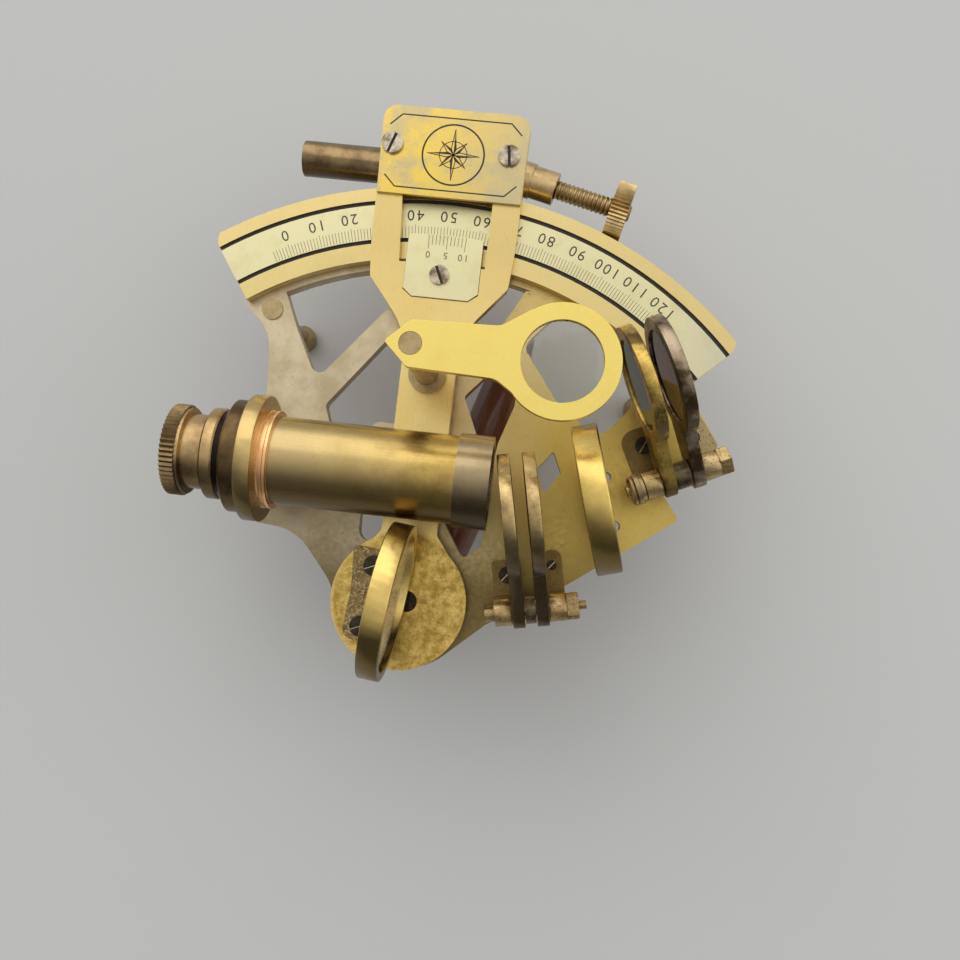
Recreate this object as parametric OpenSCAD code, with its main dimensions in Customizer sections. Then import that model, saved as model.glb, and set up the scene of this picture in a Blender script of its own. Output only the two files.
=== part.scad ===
/* [Frame and limb] */
// Height of the frame's underside above the plane that the feet rest on
foot_h = 24; // [18:1:30]
// Thickness of the cast frame
frame_t = 3; // [2.4:0.1:4]
// Thickness of the limb arc that is riveted on the frame
limb_t = 2.2; // [1.8:0.1:3]
// Outer radius of the limb
limb_r = 73; // [72.6:0.1:74]
// Width of the limb, between its outer and its inner edge
limb_w = 13; // [12.6:0.1:13.4]
// Margin between the limb's inner edge and the silvered scale
scale_in = 3.75; // [3.5:0.05:4]
// Margin between the silvered scale and the limb's outer edge
scale_out = 3.05; // [2.8:0.05:3.3]
// Width of the black grooves beside the scale
groove_w = 0.72; // [0.4:0.02:0.9]
// Depth of the grooves and of the scale's recess
groove_d = 0.5; // [0.3:0.05:0.8]
// Bearing of the limb's left end, clockwise from the index arm at rest
limb_a0 = -34.4; // [-36:0.1:-33]
// Bearing of the limb's right end
limb_a1 = 46.7; // [45:0.1:48]
// How far the frame's rim shows inside the limb
rim_lip = 1.1; // [0.6:0.1:2]
// Radius of the hub at the pivot
hub_r = 11.8; // [11:0.1:12.4]

/* [Index arm] */
// Thickness of the index arm
arm_t = 2.2; // [1.8:0.1:2.6]
// Running gap between the arm and the limb
arm_gap = 0.1; // [0.06:0.01:0.2]
// Radius of the arm's disc at the pivot
disc_r = 11.6; // [11:0.1:12.2]
// Half width of the arm's bar
bar_hw = 4.75; // [4.2:0.05:5.2]
// Half width of the arm's head at the limb
head_hw = 12.6; // [12:0.1:13]
// How far the arm's head reaches outside the limb
head_out = 13; // [11.5:0.1:14]
// Thickness of the vernier plate
vernier_t = 1.3; // [1:0.1:1.6]
// Half width of the vernier plate
vernier_hw = 6.55; // [6:0.05:6.7]
// Thickness of the cover plate at the arm's end
cover_t = 0.7; // [0.6:0.1:1.4]
// Half width of the cover plate
cover_hw = 13; // [12.6:0.1:13.4]
// How far the cover plate reaches in over the limb
cover_in = 2.8; // [2.4:0.1:3.6]
// Radius of the axle that the arm turns on
axle_r = 3; // [2.6:0.1:3.4]
// Radial running clearance of turning pins
run_gap = 0.04; // [0.02:0.01:0.08]

/* [Tangent screw and clamp] */
// Height of the tangent screw's axis below the limb's top
tangent_drop = 4; // [3.6:0.1:4.4]
// Radius of the spring tube and of the screw's collar
tube_r = 3.15; // [2.9:0.05:3.4]
// Radius of the tangent screw
screw_r = 1.8; // [1.7:0.05:2.1]
// Radius of the tangent screw's knurled head
knob_r = 5.1; // [4.8:0.1:5.6]
// Thickness of the tangent screw's knurled head
knob_t = 3.2; // [2.6:0.1:3.8]

/* [Magnifier] */
// Distance from the magnifier's post to the middle of its lens
mag_reach = 22.3; // [20:0.1:24]
// Outer radius of the magnifier's ring
mag_r = 8.65; // [8:0.05:9.2]
// Radius of the magnifier's lens
mag_lens_r = 6.1; // [5.6:0.1:6.8]
// Thickness of the magnifier's arm
mag_t = 1.7; // [1.4:0.1:2]
// Distance of the magnifier's post from the pivot
post_y = 39; // [37:0.1:41]

/* [Mirrors] */
// Outer radius of the index mirror's round mount
index_mirror_r = 12.5; // [11.5:0.1:12.6]
// Outer radius of the horizon mirror's round mount
horizon_mirror_r = 11.9; // [11.5:0.1:12.2]
// Thickness of the index mirror's mount
index_ring_t = 3.4; // [3:0.1:3.8]
// Thickness of the horizon mirror's mount
horizon_ring_t = 4.1; // [3.6:0.1:4.4]
// Wall of the mirror mounts
mirror_wall = 1.5; // [1.2:0.1:2]
// Bearing of the index mirror against the arm
index_mirror_a = 6.3; // [5:0.1:10]
// Bearing of the horizon mirror against the telescope's square
horizon_mirror_a = -16.2; // [-17:0.1:-15]
// How far the horizon mirror leans towards the telescope, set by its screws
horizon_lean = 5; // [0:0.5:6]

/* [Telescope] */
// Distance of the telescope's axis from the pivot
scope_y = 20.8; // [20.7:0.1:21.2]
// Radius of the telescope's tube
scope_r = 7.05; // [6.8:0.05:7.1]
// Wall of the telescope's tube
scope_wall = 0.75; // [0.6:0.05:0.9]
// Radius of the spigot that passes the bracket
spigot_r = 6.95; // [6.85:0.05:7.1]
// Outer radius of the bracket's ring
clamp_r = 10.1; // [9.8:0.1:10.4]
// Outer radius of the lock ring
lock_r = 9; // [8.6:0.1:9.4]
// Radius of the objective's ring
objective_r = 7.5; // [7.3:0.05:7.7]
// Radius of the eyepiece's draw tube
draw_r = 6; // [5.8:0.05:6.05]
// Radius of the knurled eyepiece
eyecap_r = 7.3; // [7:0.1:7.6]

/* [Shades] */
// Outer radius of a shade's frame
shade_r = 9.8; // [9.2:0.1:9.9]
// Radius of a shade's glass
shade_glass_r = 7.7; // [7.2:0.1:8.2]
// Thickness of a shade's frame
shade_t = 2; // [1.8:0.1:2.2]
// Distance from a shade's pin to the middle of its glass
shade_reach = 17.4; // [16.6:0.1:17.8]
// Radius of the shades' pins
pin_r = 1.1; // [0.9:0.05:1.3]
// Height of the index shades' pin above the frame
index_pin_h = 9; // [8.6:0.1:9.4]
// Height of the horizon shades' pin above the frame
horizon_pin_h = 7.6; // [7.5:0.1:8.2]

/* [Feet and handle] */
// Radius of a foot's shank
foot_r = 1.5; // [1.3:0.1:2.4]
// Radius of a foot's pad
foot_pad_r = 2.6; // [2.4:0.1:4]
// Radius of the wooden grip at its middle
grip_r = 5; // [4:0.1:5.6]
// Depth of the grip's axis below the frame
grip_drop = 13; // [10.5:0.1:14]

/* [Hidden] */
$fn = 64;

brass = [0.86, 0.72, 0.38];
old_brass = [0.55, 0.46, 0.26];
silver = [0.84, 0.83, 0.74];
steel = [0.35, 0.34, 0.33];
dark = [0.2, 0.18, 0.15];
wood = [0.36, 0.15, 0.10];
glass = [0.75, 0.85, 0.85];

// Radii from the pivot
limb_ri = limb_r - limb_w;
scale_ri = limb_ri + scale_in;
scale_ro = limb_r - scale_out;
rim_ri = limb_ri - rim_lip;
head_end = limb_r + head_out;
cover_y0 = limb_r - cover_in;

// Heights, from the plane that the feet rest on
frame_z = foot_h;
frame_top = frame_z + frame_t;
limb_top = frame_top + limb_t;
arm_z = limb_top + arm_gap;
arm_top = arm_z + arm_t;
mirror_gap = 0.1;
mirror_z = arm_top + mirror_gap + index_mirror_r;
mag_gap = 0.3;
mag_z = mirror_z + index_mirror_r + mag_gap;
tangent_z = limb_top - tangent_drop;

// Places in plan, from the pivot
foot_in = 3;
left_foot_at = bearing(limb_ri - foot_in, limb_a0 + 3.1);
right_foot_at = bearing(limb_ri - foot_in, limb_a1 - 3.3);
horizon_at = [30.3, 20.2];
index_mirror_at = [-0.7, 0.6];
rivet_r = 1.9;
grip_from = [5, 8.4];
grip_to = [14.5, 47.6];

function bearing(r, a) = [r * sin(a), r * cos(a)];
function unit(v) = v / norm(v);
function turn_near(a, b) = a - b > 180 ? a - 360 : a - b < -180 ? a + 360 : a;

// A corner of a flat outline, as points on the fillet's arc
function corner(a, p, b, r, n) =
    r == 0 ? [p] :
    let (u = unit(a - p), v = unit(b - p), half = acos(u * v) / 2,
        c = p + unit(u + v) * r / sin(half), d = r / tan(half),
        s = p + u * d - c, e = p + v * d - c,
        a0 = atan2(s.y, s.x), a1 = turn_near(atan2(e.y, e.x), a0))
    [for (i = [0:n]) c + r * [cos(a0 + (a1 - a0) * i / n), sin(a0 + (a1 - a0) * i / n)]];

// An outline whose corners [x, y, radius] are rounded
function outline(p, n = 5) = [for (i = [0:len(p) - 1])
    let (a = p[(i + len(p) - 1) % len(p)], q = p[i], b = p[(i + 1) % len(p)])
    each corner([a.x, a.y], [q.x, q.y], [b.x, b.y], q.z, n)];

function mirrored(p) = concat(p, [for (i = [len(p) - 1:-1:0]) [-p[i].x, p[i].y, p[i].z]]);

module sector(r0, r1, a0, a1) {
    mid = (a0 + a1) / 2;
    far = 2 * r1;
    intersection() {
        difference() {
            circle(r1, $fn = 180);
            circle(r0, $fn = 180);
        }
        polygon([[0, 0], bearing(far, a0), bearing(far * 1.3, mid), bearing(far, a1)]);
    }
}

module tube(r, bore, h) {
    difference() {
        cylinder(r = r, h = h);
        translate([0, 0, -1]) cylinder(r = bore, h = h + 2);
    }
}

// A wheel with straight knurling
module knurled(r, h, teeth, depth = 0.25) {
    linear_extrude(h)
        polygon([for (i = [0:2 * teeth - 1])
            let (a = 180 * i / teeth, q = r - (i % 2) * depth) [q * cos(a), q * sin(a)]]);
}

module slotted_head(r, h, slot = 0.5) {
    difference() {
        cylinder(r = r, h = h);
        translate([-r - 1, -slot / 2, h * 0.45]) cube([2 * r + 2, slot, h]);
    }
}

// Along the telescope, x from the pivot and the axis at its height
module on_scope(x) translate([x, scope_y, mirror_z]) rotate([0, 90, 0]) children();

/* The frame: one casting, with its openings */
rim_mid = limb_ri + 1.8;
left_opening = [[-28, 53.2, 0], [-24.6, 45.4, 3], [-20.2, 36.9, 1.6], [-8.9, 51.1, 0],
    [-1.5, 60.4, 0], [-12, 62, 0]];
centre_left_opening = [[-8.3, 45.5, 0.8], [-18, 32.6, 1.2], [-15.2, 25, 1.5], [-10.1, 27, 0.3],
    [-9.9, 30.6, 2.5], [-4.4, 30.6, 0.8], [-3.4, 43, 2], [-3.2, 50.4, 1]];
hub_left_opening = [[-9.6, 21, 1.7], [-9.3, 9.2, 1.9], [-5.4, 9.9, 1.5], [-5.2, 21, 1.7]];
centre_right_opening = [[9.4, 40.2, 1], [6.4, 36.7, 0.8], [9.6, 29.5, 2], [8, 21, 3],
    [5.2, 14.4, 1], [9.3, 8.2, 1], [12.3, 10.6, 1.2], [12.2, 20, 3], [13.2, 29, 3], [15.4, 36, 2],
    [15.6, 44.6, 1.6]];
arm_right_opening = [[3, 60.4, 0], [2.6, 46, 1.5], [11.4, 49.6, 2], [16.2, 58.6, 0],
    [14, 60.4, 0]];
right_opening = [[24.9, 56, 0], [16.8, 46.4, 1.5], [23.5, 37.4, 2], [30.3, 31.2, 3.2],
    [35.4, 37.4, 8], [38.6, 45.8, 0]];
diamond_opening = [[20.5, 25.4, 0.3], [22.1, 21, 0.3], [24.75, 25.1, 0.3], [23.1, 28.8, 0.3]];
frame_outline = [[-34.8, 49.3, 0], [-29.6, 44.8, 8], [-28.6, 33, 8], [-31.6, 26, 3],
    [-31.6, 15, 3], [-28, 10.6, 2], [-20.4, 10, 9], [-13.4, 1.8, 9], [-11, -4.2, 0],
    [8.2, -8.5, 0], [14.6, -2.6, 6], [27.5, 5.6, 0], [45.9, 19.2, 1], [42.6, 23.4, 1],
    [51.6, 32.6, 1], concat(bearing(rim_mid, limb_a1 - 0.8), 0), concat(bearing(rim_mid, limb_a1 - 5.2), 0),
    concat(bearing(rim_mid, limb_a1 - 23.9), 0), concat(bearing(limb_ri, limb_a0 + 10.8), 0)];

module frame_plate() color(old_brass) {
    difference() {
        translate([0, 0, frame_z]) linear_extrude(frame_t) {
            difference() {
                union() {
                    polygon(outline(frame_outline));
                    circle(hub_r);
                }
                polygon(outline(left_opening));
                polygon(outline(centre_left_opening));
                polygon(outline(hub_left_opening));
                polygon(outline(centre_right_opening));
                polygon(outline(arm_right_opening));
                polygon(outline(right_opening));
                polygon(outline(diamond_opening));
            }
            sector(rim_ri, limb_r - 1.2, limb_a0 + 0.3, limb_a1 - 0.3);
        }
        translate([0, 0, frame_z - 1]) {
            cylinder(r = bush_r, h = frame_t + 2);
            translate(left_foot_at) cylinder(r = rivet_r, h = frame_t + 2);
            translate(right_foot_at) cylinder(r = rivet_r, h = frame_t + 2);
            translate(grip_from) cylinder(r = stud_r, h = frame_t + 2);
            translate(grip_to) cylinder(r = stud_r, h = frame_t + 2);
            for (s = scope_screws) translate(s) cylinder(r = stud_r, h = frame_t + 2);
        }
        at_mirror(horizon_at, horizon_mirror_a) translate([0, 0, frame_z - mirror_z - 1]) {
            for (s = horizon_holes) translate(s) cylinder(r = horizon_hole_r, h = frame_t + 2);
            for (s = horizon_screws) translate(s) cylinder(r = horizon_screw_r, h = frame_t + 2);
        }
    }
}

module limb_arc() color(brass) {
    difference() {
        translate([0, 0, frame_top]) linear_extrude(limb_t) intersection() {
            sector(limb_ri, limb_r, limb_a0, limb_a1);
            polygon(outline(limb_ends));
        }
        translate([0, 0, limb_top - groove_d]) linear_extrude(groove_d + 1)
            sector(scale_ri - groove_w, scale_ro + groove_w, limb_a0 - 4, limb_a1 + 4);
    }
}
// The limb's outer corners are rounded where they meet its outer edge
limb_far = limb_r / cos((limb_a1 - limb_a0) / 4) + 0.02;
limb_ends = [[0, 0, 0], concat(bearing(limb_r + 0.35, limb_a0), 2.6),
    concat(bearing(limb_far, (3 * limb_a0 + limb_a1) / 4), 0),
    concat(bearing(limb_far + 3, (limb_a0 + limb_a1) / 2), 0),
    concat(bearing(limb_far, (limb_a0 + 3 * limb_a1) / 4), 0),
    concat(bearing(limb_r + 0.35, limb_a1), 2.6)];

module scale_strip() color(silver) {
    translate([0, 0, limb_top - groove_d]) linear_extrude(groove_d)
        sector(scale_ri, scale_ro, limb_a0, limb_a1);
}

/* Feet */
foot_collar = 1.3;
module foot(at, tenon) {
    translate(at) rotate_extrude() polygon(concat(
        [[0, 0], [foot_pad_r - 0.6, 0], [foot_pad_r, 0.6], [foot_pad_r, 2.2], [foot_r, 4],
        [foot_r * 0.85, foot_h * 0.6], [foot_r, foot_h - 3], [foot_r + foot_collar, foot_h - 1.6],
        [foot_r + foot_collar, foot_h]],
        [[tenon, foot_h], [tenon, frame_top + 0.35], [0, frame_top + 0.35]]));
}
module left_foot() color(old_brass) foot(left_foot_at, rivet_r);
module right_foot() color(old_brass) foot(right_foot_at, rivet_r);

bush_r = 5;
axle_end = frame_z - 3.2;
nut_r = 4.2;
cup_r = nut_r + 0.5;
module pivot_foot() color(old_brass) {
    rotate_extrude() polygon([[0, 0], [foot_pad_r - 0.6, 0], [foot_pad_r, 0.6],
        [foot_pad_r, 2.2], [foot_r, 4], [foot_r, axle_end - 5], [cup_r + 1.4, axle_end - 2],
        [cup_r + 1.4, foot_h], [cup_r, foot_h], [cup_r, axle_end - 1], [0, axle_end - 1]]);
}
module pivot_bush() color(brass) {
    translate([0, 0, frame_z]) tube(bush_r, axle_r + run_gap, frame_t);
    translate([0, 0, frame_top]) tube(hub_r - 2.6, axle_r + run_gap, limb_t);
}

/* The wooden handle, on two pillars below the frame */
stud_r = 1.5;
grip_dir = grip_to - grip_from;
grip_len = norm(grip_dir);
grip_a = atan2(grip_dir.y, grip_dir.x);
pillar_r = 2.3;
grip_z = frame_z - grip_drop;
module handle_grip() color(wood) {
    difference() {
        translate([grip_from.x, grip_from.y, grip_z]) rotate([0, 0, grip_a]) rotate([0, 90, 0])
            translate([0, 0, -pillar_r - 2.4]) rotate_extrude() polygon(grip_profile);
        for (p = [grip_from, grip_to])
            translate([p.x, p.y, grip_z - grip_r - 1]) cylinder(r = stud_r, h = 3 * grip_r);
        for (p = [grip_from, grip_to])
            translate([p.x, p.y, grip_z + pillar_seat]) cylinder(r = pillar_r, h = grip_r);
    }
}
pillar_seat = grip_r * 0.52;
grip_full = grip_len + 2 * pillar_r + 4.8;
grip_profile = concat([[0, 0]],
    [for (i = [0:12]) let (s = i / 12)
        [grip_r * (0.62 + 0.38 * pow(sin(180 * s), 0.7)), s * grip_full]],
    [[0, grip_full]]);
module handle_pillars() color(old_brass) {
    for (p = [grip_from, grip_to]) translate([p.x, p.y, 0]) {
        translate([0, 0, grip_z + pillar_seat]) cylinder(r = pillar_r, h = grip_drop - pillar_seat);
        translate([0, 0, grip_z - grip_r * 0.2]) cylinder(r = stud_r, h = grip_drop + grip_r * 0.2 + frame_t);
    }
}

/* The telescope and its bracket */
clamp_x = -25.15;
clamp_w = 2.55;
scope_screws = [[clamp_x + clamp_w / 2, scope_y - 3.6], [clamp_x + clamp_w / 2, scope_y + 3.6]];
pedestal_hw = 6;
module telescope_bracket() color(brass) {
    difference() {
        union() {
            on_scope(clamp_x) cylinder(r = clamp_r, h = clamp_w);
            translate([clamp_x, scope_y - pedestal_hw, frame_top])
                cube([clamp_w, 2 * pedestal_hw, mirror_z - frame_top - spigot_r]);
            translate([clamp_x, 0, frame_top]) linear_extrude(1.4) polygon(outline([
                [-1.6, scope_y - pedestal_hw, 1], [clamp_w + 2.4, scope_y - pedestal_hw, 1],
                [clamp_w + 2.4, scope_y + pedestal_hw, 1], [-1.6, scope_y + pedestal_hw, 1]]));
        }
        on_scope(clamp_x - 1) cylinder(r = spigot_r, h = clamp_w + 2);
        for (s = scope_screws) translate([s.x, s.y, frame_top - 1]) cylinder(r = stud_r, h = 4);
    }
}
// Screws from below: through the frame into the bracket and the pillars
module frame_screws() color(steel) {
    for (s = scope_screws) translate([s.x, s.y, frame_z]) {
        cylinder(r = stud_r, h = frame_t + 2.8);
        rotate([180, 0, 0]) slotted_head(2.3, 1.1);
    }
    at_mirror(horizon_at, horizon_mirror_a) for (s = horizon_screws)
        translate([s.x, s.y, frame_z - mirror_z]) {
            cylinder(r = horizon_screw_r, h = frame_t + 2.4);
            rotate([180, 0, 0]) slotted_head(1.8, 0.9);
        }
}
objective_x = 8.05;
objective_w = 5.3;
tube_end = objective_x + 2.6;
collar_x = clamp_x + clamp_w;
collar_w = 1.75;
ferrule_x = -31.5;
ferrule_w = 2.1;
lip = 0.6;
lock_w = 2.95;
module telescope_tube() color(brass) {
    on_scope(0) rotate_extrude() polygon([
        [scope_r - scope_wall, ferrule_x + lip], [spigot_r, ferrule_x + lip], [spigot_r, collar_x],
        [scope_r + 0.85, collar_x], [scope_r + 0.85, collar_x + 0.4], [scope_r + 0.6, collar_x + 0.6],
        [scope_r + 0.6, collar_x + collar_w - 0.6], [scope_r + 0.8, collar_x + collar_w - 0.4],
        [scope_r + 0.8, collar_x + collar_w], [scope_r, collar_x + collar_w], [scope_r, tube_end],
        [scope_r - scope_wall, tube_end]]);
}
module lock_ring() color(dark) on_scope(clamp_x - lock_w) rotate_extrude() polygon([
    [spigot_r, 0], [lock_r - 0.7, 0], [lock_r, 0.5], [lock_r, lock_w], [spigot_r, lock_w]]);
module draw_ferrule() color(old_brass) on_scope(ferrule_x) rotate_extrude() polygon([
    [draw_r + run_gap, 0], [eyecap_r - 0.3, 0], [eyecap_r, 0.3], [eyecap_r, ferrule_w - 0.3],
    [eyecap_r - 0.2, ferrule_w], [spigot_r, ferrule_w], [spigot_r, lip], [draw_r + run_gap, lip]]);
lens_w = 1.6;
module objective_ring() color(old_brass) on_scope(objective_x) rotate_extrude() polygon([
    [scope_r, 0], [objective_r, 0], [objective_r, objective_w], [scope_r - 0.8, objective_w],
    [scope_r - 0.8, tube_end + lens_w - objective_x], [scope_r, tube_end + lens_w - objective_x]]);
module objective_lens() color(glass) on_scope(tube_end) cylinder(r = scope_r, h = lens_w);

/* The eyepiece, which slides in the telescope */
flange_x = -35.4;
flange_w = 0.5;
draw_len = 21;
draw_wall = 0.7;
cap_w = 2.2;
eye_hole_r = 3.4;
module eyepiece_tube() color(old_brass) on_scope(flange_x) rotate_extrude() polygon([
    [draw_r - draw_wall, 0], [eyecap_r - 0.4, 0], [eyecap_r - 0.4, flange_w],
    [draw_r, flange_w], [draw_r, draw_len], [draw_r - draw_wall, draw_len]]);
module eyepiece_cap() color(brass) difference() {
    on_scope(flange_x - cap_w) knurled(eyecap_r, cap_w, 56, 0.3);
    on_scope(flange_x - cap_w - 1) cylinder(r = eye_hole_r, h = cap_w + 2);
    on_scope(flange_x - cap_w - 0.01) cylinder(r1 = eye_hole_r + 1.6, r2 = eye_hole_r, h = 1.2);
}
module eyepiece_lens() color(glass) on_scope(flange_x) cylinder(r = draw_r - draw_wall, h = 1.4);

/* Mirror mounts: x square to the glass, y along it, z up */
module at_mirror(at, a) translate([at.x, at.y, mirror_z]) rotate([0, 0, -a]) children();
saddle_hw = 4.6;
glass_t = 1.6;
module mount_ring(r, t, back) {
    difference() {
        rotate([0, 90, 0]) translate([0, 0, -t / 2]) cylinder(r = r, h = t);
        rotate([0, 90, 0]) translate([0, 0, -t / 2 + back]) cylinder(r = r - mirror_wall, h = t + 2);
        rotate([0, 90, 0]) translate([0, 0, -t]) cylinder(r = r - mirror_wall - 1, h = 2 * t);
    }
}
// The saddle that a mount stands on, from height z0 up to the ring, which leans
module saddle(x0, x1, r, z0, lean) {
    difference() {
        translate([x0, -saddle_hw, z0 - mirror_z]) cube([x1 - x0, 2 * saddle_hw, mirror_z - z0 - saddle_top]);
        rotate([0, 90 - lean, 0]) translate([0, 0, -x1 + x0]) cylinder(r = r, h = 3 * (x1 - x0));
    }
}
saddle_top = 9.4;
foot_plate_t = 1.2;
index_foot_x = -7.8;
index_foot_y0 = -8.5;
index_foot_y1 = 7.2;
mirror_screw_r = 0.9;
index_screws = [[-4.9, 4.4], [-4.9, -6]];
module index_mirror_base() color(old_brass) at_mirror(index_mirror_at, index_mirror_a) {
    difference() {
        union() {
            saddle(-index_ring_t / 2, index_ring_t / 2, index_mirror_r, arm_top, 0);
            translate([0, 0, arm_top - mirror_z]) linear_extrude(foot_plate_t) polygon(outline([
                [index_foot_x, index_foot_y0, 1.8], [index_ring_t / 2, index_foot_y0, 0],
                [index_ring_t / 2, index_foot_y1, 0], [index_foot_x - 1.3, index_foot_y1, 0.8],
                [index_foot_x - 0.1, 0, 0]]));
        }
        rotate([0, 90, 0]) translate([0, 0, -index_ring_t / 2]) cylinder(r = index_mirror_r, h = index_ring_t);
        for (s = index_screws) translate([s.x, s.y, arm_top - mirror_z - 1]) cylinder(r = mirror_screw_r, h = 4);
    }
}
module index_mirror_screws() color(dark) at_mirror(index_mirror_at, index_mirror_a)
    for (s = index_screws) translate([s.x, s.y, arm_top - mirror_z]) {
        cylinder(r = mirror_screw_r, h = foot_plate_t);
        translate([0, 0, foot_plate_t]) rotate([0, 0, 30]) slotted_head(1.75, 0.7);
    }
module index_mirror_ring() color(brass) at_mirror(index_mirror_at, index_mirror_a)
    mount_ring(index_mirror_r, index_ring_t, mirror_back);
mirror_back = 0.8;
module index_mirror_glass() color(silver) at_mirror(index_mirror_at, index_mirror_a)
    rotate([0, 90, 0]) translate([0, 0, -index_ring_t / 2 + mirror_back])
        cylinder(r = index_mirror_r - mirror_wall, h = glass_t);

// The horizon mirror stands on two screws from below, beside two spare holes
horizon_saddle_x = horizon_mirror_r * sin(horizon_lean);
horizon_saddle_hw = 1.6;
horizon_screws = [[horizon_saddle_x, 3.1], [horizon_saddle_x, -3.1]];
horizon_screw_r = 0.8;
horizon_holes = [[3.6, 4.2], [3.6, -4.5]];
horizon_hole_r = 0.95;
module horizon_bracket() color(old_brass) at_mirror(horizon_at, horizon_mirror_a) difference() {
    saddle(horizon_saddle_x - horizon_saddle_hw, horizon_saddle_x + horizon_saddle_hw, horizon_mirror_r,
        frame_top, horizon_lean);
    for (s = horizon_screws) translate([s.x, s.y, frame_top - mirror_z - 1])
        cylinder(r = horizon_screw_r, h = 3.4);
}
module at_horizon() at_mirror(horizon_at, horizon_mirror_a) rotate([0, -horizon_lean, 0]) children();
module horizon_ring() color(brass) at_horizon()
    rotate([0, 0, 180]) mount_ring(horizon_mirror_r, horizon_ring_t, mirror_back);
module horizon_glass() color(glass) at_horizon()
    rotate([0, -90, 0]) translate([0, 0, -horizon_ring_t / 2 + mirror_back])
        cylinder(r = horizon_mirror_r - mirror_wall, h = glass_t + 0.4);

/* Shades: x along the pin, y square to it in plan, z up from the pin */
index_pin_a = 11.8;
index_pin_at = [17.5, 0.5];
horizon_pin_a = 24.7;
horizon_pin_at = [39.8, 24.25];
module at_index_pin() translate([index_pin_at.x, index_pin_at.y, frame_top + index_pin_h])
    rotate([0, 0, index_pin_a]) children();
module at_horizon_pin() translate([horizon_pin_at.x, horizon_pin_at.y, frame_top + horizon_pin_h])
    rotate([0, 0, horizon_pin_a]) children();
hub_gap = 0.12;
ear_t = 2.8;
ear_w = 4.6;
shade_hub_r = 2.9;
// Places along the pin, from the middle of the inner ear
index_1_x = ear_t / 2 + hub_gap;
index_2_x = 5.5;
index_ear_x = index_2_x + shade_t + hub_gap;
horizon_1_x = ear_t / 2 + hub_gap;
horizon_ear_x = 8.6;
horizon_2_x = horizon_ear_x - hub_gap - shade_t;
shade_gap = 1;
// How far the index shades stand above level, in the light's path
index_shade_e = asin((mirror_z - frame_top - index_pin_h) / shade_reach);
horizon_shade_e = asin((arm_top + shade_gap + shade_r - frame_top - horizon_pin_h) / shade_reach);

// An ear with its foot: the foot's corners, its screw's place and the screw head's radius
module ear(t, h, plate, hole) difference() {
    union() {
        translate([0, -ear_w / 2, -h]) cube([t, ear_w, h]);
        rotate([0, 90, 0]) cylinder(r = ear_w / 2, h = t);
        translate([0, 0, -h]) linear_extrude(ear_foot_t) polygon(outline(plate));
    }
    translate([-1, 0, 0]) rotate([0, 90, 0]) cylinder(r = pin_r, h = t + 2);
    translate([hole.x, hole.y, -h - 1]) cylinder(r = ear_screw_r, h = 4);
}
module ear_screw(h, hole, head_r) translate([hole.x, hole.y, -h]) {
    cylinder(r = ear_screw_r, h = ear_foot_t);
    translate([0, 0, ear_foot_t]) rotate([0, 0, 40]) slotted_head(head_r, 0.7, 0.4);
}
ear_foot_t = 1.2;
ear_screw_r = 0.6;
index_plate_1 = [[0, -ear_w / 2, 0], [5, -ear_w / 2, 0.4], [5, 8.4, 0.6], [0, 8.4, 0.6]];
index_plate_2 = [[0, -ear_w / 2, 0], [3.1, -ear_w / 2, 0.4], [3.1, 9.4, 1.5], [0, 9.4, 1.5]];
horizon_plate_1 = [[0, -ear_w / 2, 0], [5, -ear_w / 2, 0.4], [5, 10.2, 1.2], [-0.4, 10.2, 2.2]];
horizon_plate_2 = [[0, -ear_w / 2, 0], [3.1, -ear_w / 2, 0.4], [5.2, 3.2, 0.4], [3.9, 9.4, 0.6], [0, 9.4, 0.6]];
index_hole_1 = [2.5, 5.8];
index_hole_2 = [1.3, 6.8];
horizon_hole_1 = [3.1, 7];
horizon_hole_2 = [1.5, 5.6];
module index_shade_bracket() color(old_brass) at_index_pin() {
    translate([-ear_t / 2, 0, 0]) ear(ear_t, index_pin_h, index_plate_1, index_hole_1);
    translate([index_ear_x, 0, 0]) ear(ear_t, index_pin_h, index_plate_2, index_hole_2);
}
module horizon_shade_bracket() color(old_brass) at_horizon_pin() {
    translate([-ear_t / 2, 0, 0]) ear(ear_t, horizon_pin_h, horizon_plate_1, horizon_hole_1);
    translate([horizon_ear_x, 0, 0]) ear(ear_t, horizon_pin_h, horizon_plate_2, horizon_hole_2);
}
module bracket_screws() color(dark) {
    at_index_pin() {
        translate([-ear_t / 2, 0, 0]) ear_screw(index_pin_h, index_hole_1, 1.45);
        translate([index_ear_x, 0, 0]) ear_screw(index_pin_h, index_hole_2, 0.85);
    }
    at_horizon_pin() {
        translate([-ear_t / 2, 0, 0]) ear_screw(horizon_pin_h, horizon_hole_1, 1.5);
        translate([horizon_ear_x, 0, 0]) ear_screw(horizon_pin_h, horizon_hole_2, 1.2);
    }
}
nut_w = 2;
thread_end_r = 0.7;
module index_shade_pin() color(brass) at_index_pin() rotate([0, 90, 0]) {
    translate([0, 0, -ear_t / 2 - 1.6]) cylinder(r = 1.4, h = 1.6);
    translate([0, 0, -ear_t / 2]) cylinder(r = pin_r, h = ear_t / 2 + index_ear_x + ear_t + nut_w);
    translate([0, 0, index_ear_x + ear_t + nut_w]) cylinder(r = thread_end_r, h = 1.3);
}
nut_hw = 2.15;
module index_shade_nut() color(brass) at_index_pin() translate([index_ear_x + ear_t, 0, 0])
    rotate([90, 0, 90]) difference() {
        linear_extrude(nut_w) polygon(outline([[-nut_hw, -nut_hw, 1], [nut_hw, -nut_hw, 1],
            [nut_hw, nut_hw, 1], [-nut_hw, nut_hw, 1]]));
        translate([0, 0, -1]) cylinder(r = pin_r, h = nut_w + 2);
    }
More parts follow.
